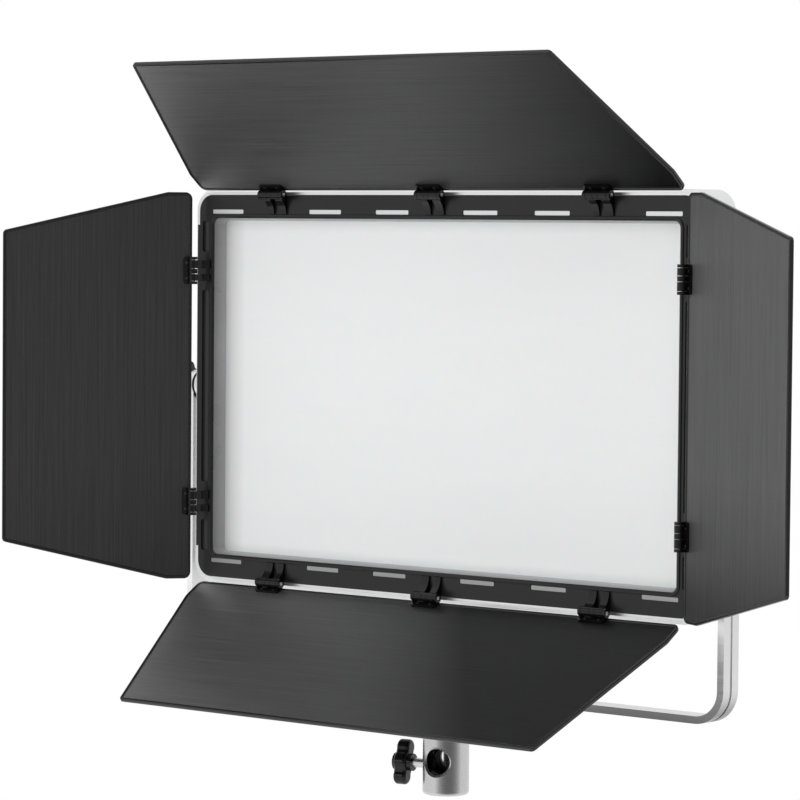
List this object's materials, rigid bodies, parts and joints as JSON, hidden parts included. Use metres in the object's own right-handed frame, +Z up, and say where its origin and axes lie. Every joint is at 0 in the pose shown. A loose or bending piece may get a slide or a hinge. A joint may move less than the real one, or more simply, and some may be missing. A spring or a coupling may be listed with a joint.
{
  "type": "led panel light",
  "caption": "Rectangular LED panel light with barn doors on all sides, hung in a U-shaped yoke with lock knobs and a swivelling stand receiver with a clamp screw.",
  "frame": {"origin": "centre of the stand socket's mouth, at the bottom of the receiver", "axes": "+Z up along the stand socket's axis, the lamp's window faces -Y, +X is to the right seen from the front and along the tilt axis"},
  "size_m": [0.5768, 0.1974, 0.451],
  "materials": {
    "cast_silver": "satin",
    "silver_frame": "satin",
    "silver_yoke": "satin",
    "bare_aluminium": "satin",
    "steel": "satin",
    "black_steel": "satin",
    "bezel_plastic": "satin",
    "black_plastic": "matte",
    "gloss_black": "gloss",
    "black_rubber": "matte",
    "white_plastic": "matte",
    "diffuser": "satin",
    "circuit_white": "satin",
    "circuit_green": "satin",
    "led": "gloss",
    "components": "satin",
    "black_metal": "satin",
    "pod_plastic": "matte",
    "control_plastic": "satin",
    "display_glass": "gloss",
    "knob_plastic": "satin",
    "button_rubber": "matte",
    "hinge_black": "satin",
    "door_sheet": "satin",
    "door_trim": "satin"
  },
  "bodies": {
    "receiver": {"receiver_body": "cast_silver", "swivel_washer": "black_plastic", "spring_washer": "steel", "swivel_bolt": "steel"},
    "clamp_pad": {"clamp_pad": "black_plastic"},
    "clamp_knob": {"clamp_screw": "steel", "clamp_knob": "gloss_black"},
    "yoke": {"yoke_bar": "silver_yoke", "yoke_washers": "black_rubber"},
    "left_lock": {"left_lock_bolt": "steel", "left_lock_knob": "black_plastic"},
    "right_lock": {"right_lock_bolt": "steel", "right_lock_knob": "black_plastic"},
    "brightness_knob": {"brightness_knob": "knob_plastic"},
    "colour_knob": {"colour_knob": "knob_plastic"},
    "mode_button": {"mode_button": "button_rubber"},
    "menu_button": {"menu_button": "button_rubber"},
    "power_rocker": {"power_rocker": "gloss_black"},
    "top_door": {"top_door_panel": "door_sheet", "top_door_trim": "door_trim", "top_door_leaves": "hinge_black", "top_door_rivets": "black_steel"},
    "bottom_door": {"bottom_door_panel": "door_sheet", "bottom_door_trim": "door_trim", "bottom_door_leaves": "hinge_black", "bottom_door_rivets": "black_steel"},
    "left_door": {"left_door_panel": "door_sheet", "left_door_trim": "door_trim", "left_door_leaves": "hinge_black", "left_door_rivets": "black_steel"},
    "right_door": {"right_door_panel": "door_sheet", "right_door_trim": "door_trim", "right_door_leaves": "hinge_black", "right_door_rivets": "black_steel"},
    "lamp": {"bezel_screws": "steel", "control_board": "circuit_green", "control_panel": "control_plastic", "dc_inlet": "steel", "diffuser": "diffuser", "diffuser_gasket": "black_rubber", "display_module": "components", "display_window": "display_glass", "driver_board": "circuit_green", "driver_components": "components", "electronics_housing": "pod_plastic", "encoder_bodies": "steel", "front_bezel": "bezel_plastic", "heat_sink": "bare_aluminium", "hinge_arms_long": "hinge_black", "hinge_arms_side": "hinge_black", "hinge_pins": "steel", "housing_frame": "silver_frame", "led_board": "circuit_white", "led_packages": "led", "mixing_frame": "white_plastic", "pivot_bosses": "silver_frame", "rear_cover": "black_metal", "rear_screws": "black_steel", "switch_frame": "gloss_black"}
  },
  "joints": [
    {"name": "pan", "type": "hinge", "parent": "receiver", "child": "yoke", "pos_m": [0, 0, 0.062], "axis": [0, 0, 1], "continuous": true},
    {"name": "tilt", "type": "hinge", "parent": "yoke", "child": "lamp", "pos_m": [0, 0, 0.247], "axis": [-1, 0, 0], "range_deg": [-8, 90]},
    {"name": "clamp_feed", "type": "slide", "parent": "receiver", "child": "clamp_pad", "axis": [-0.9781, -0.2079, 0], "range_m": [0, 0.002]},
    {"name": "clamp_turn", "type": "hinge", "parent": "clamp_pad", "child": "clamp_knob", "pos_m": [0, 0, 0.0178], "axis": [-0.9781, -0.2079, 0], "range_deg": [0, 720]},
    {"name": "left_lock_turn", "type": "hinge", "parent": "lamp", "child": "left_lock", "pos_m": [-0.2138, 0, 0.247], "axis": [-1, 0, 0], "range_deg": [0, 360]},
    {"name": "right_lock_turn", "type": "hinge", "parent": "lamp", "child": "right_lock", "pos_m": [0.2138, 0, 0.247], "axis": [1, 0, 0], "range_deg": [0, 360]},
    {"name": "brightness_turn", "type": "hinge", "parent": "lamp", "child": "brightness_knob", "pos_m": [0.034, 0.06, 0.216], "axis": [0, 1, 0], "continuous": true},
    {"name": "colour_turn", "type": "hinge", "parent": "lamp", "child": "colour_knob", "pos_m": [0.072, 0.06, 0.216], "axis": [0, 1, 0], "continuous": true},
    {"name": "mode_press", "type": "slide", "parent": "lamp", "child": "mode_button", "axis": [0, -1, 0], "range_m": [0, 0.0008], "stiffness_N_per_m": 300},
    {"name": "menu_press", "type": "slide", "parent": "lamp", "child": "menu_button", "axis": [0, -1, 0], "range_m": [0, 0.0008], "stiffness_N_per_m": 300},
    {"name": "rocker_tip", "type": "hinge", "parent": "lamp", "child": "power_rocker", "pos_m": [0.062, 0.045, 0.177], "axis": [0, 1, 0], "range_deg": [0, 16]},
    {"name": "top_door_hinge", "type": "hinge", "parent": "lamp", "child": "top_door", "pos_m": [0, -0.0212, 0.3702], "axis": [-1, 0, 0], "range_deg": [-128.9, 51.1]},
    {"name": "bottom_door_hinge", "type": "hinge", "parent": "lamp", "child": "bottom_door", "pos_m": [0, -0.0212, 0.1238], "axis": [1, 0, 0], "range_deg": [-122.2, 55.8]},
    {"name": "left_door_hinge", "type": "hinge", "parent": "lamp", "child": "left_door", "pos_m": [-0.1933, -0.0252, 0.247], "axis": [0, 0, -1], "range_deg": [-127.8, 52.2]},
    {"name": "right_door_hinge", "type": "hinge", "parent": "lamp", "child": "right_door", "pos_m": [0.1933, -0.0252, 0.247], "axis": [0, 0, 1], "range_deg": [-153, 27]}
  ],
  "couplings": [
    {"joint": "clamp_feed", "follows": "clamp_turn", "m_per_rad": 0.00015915}
  ]
}
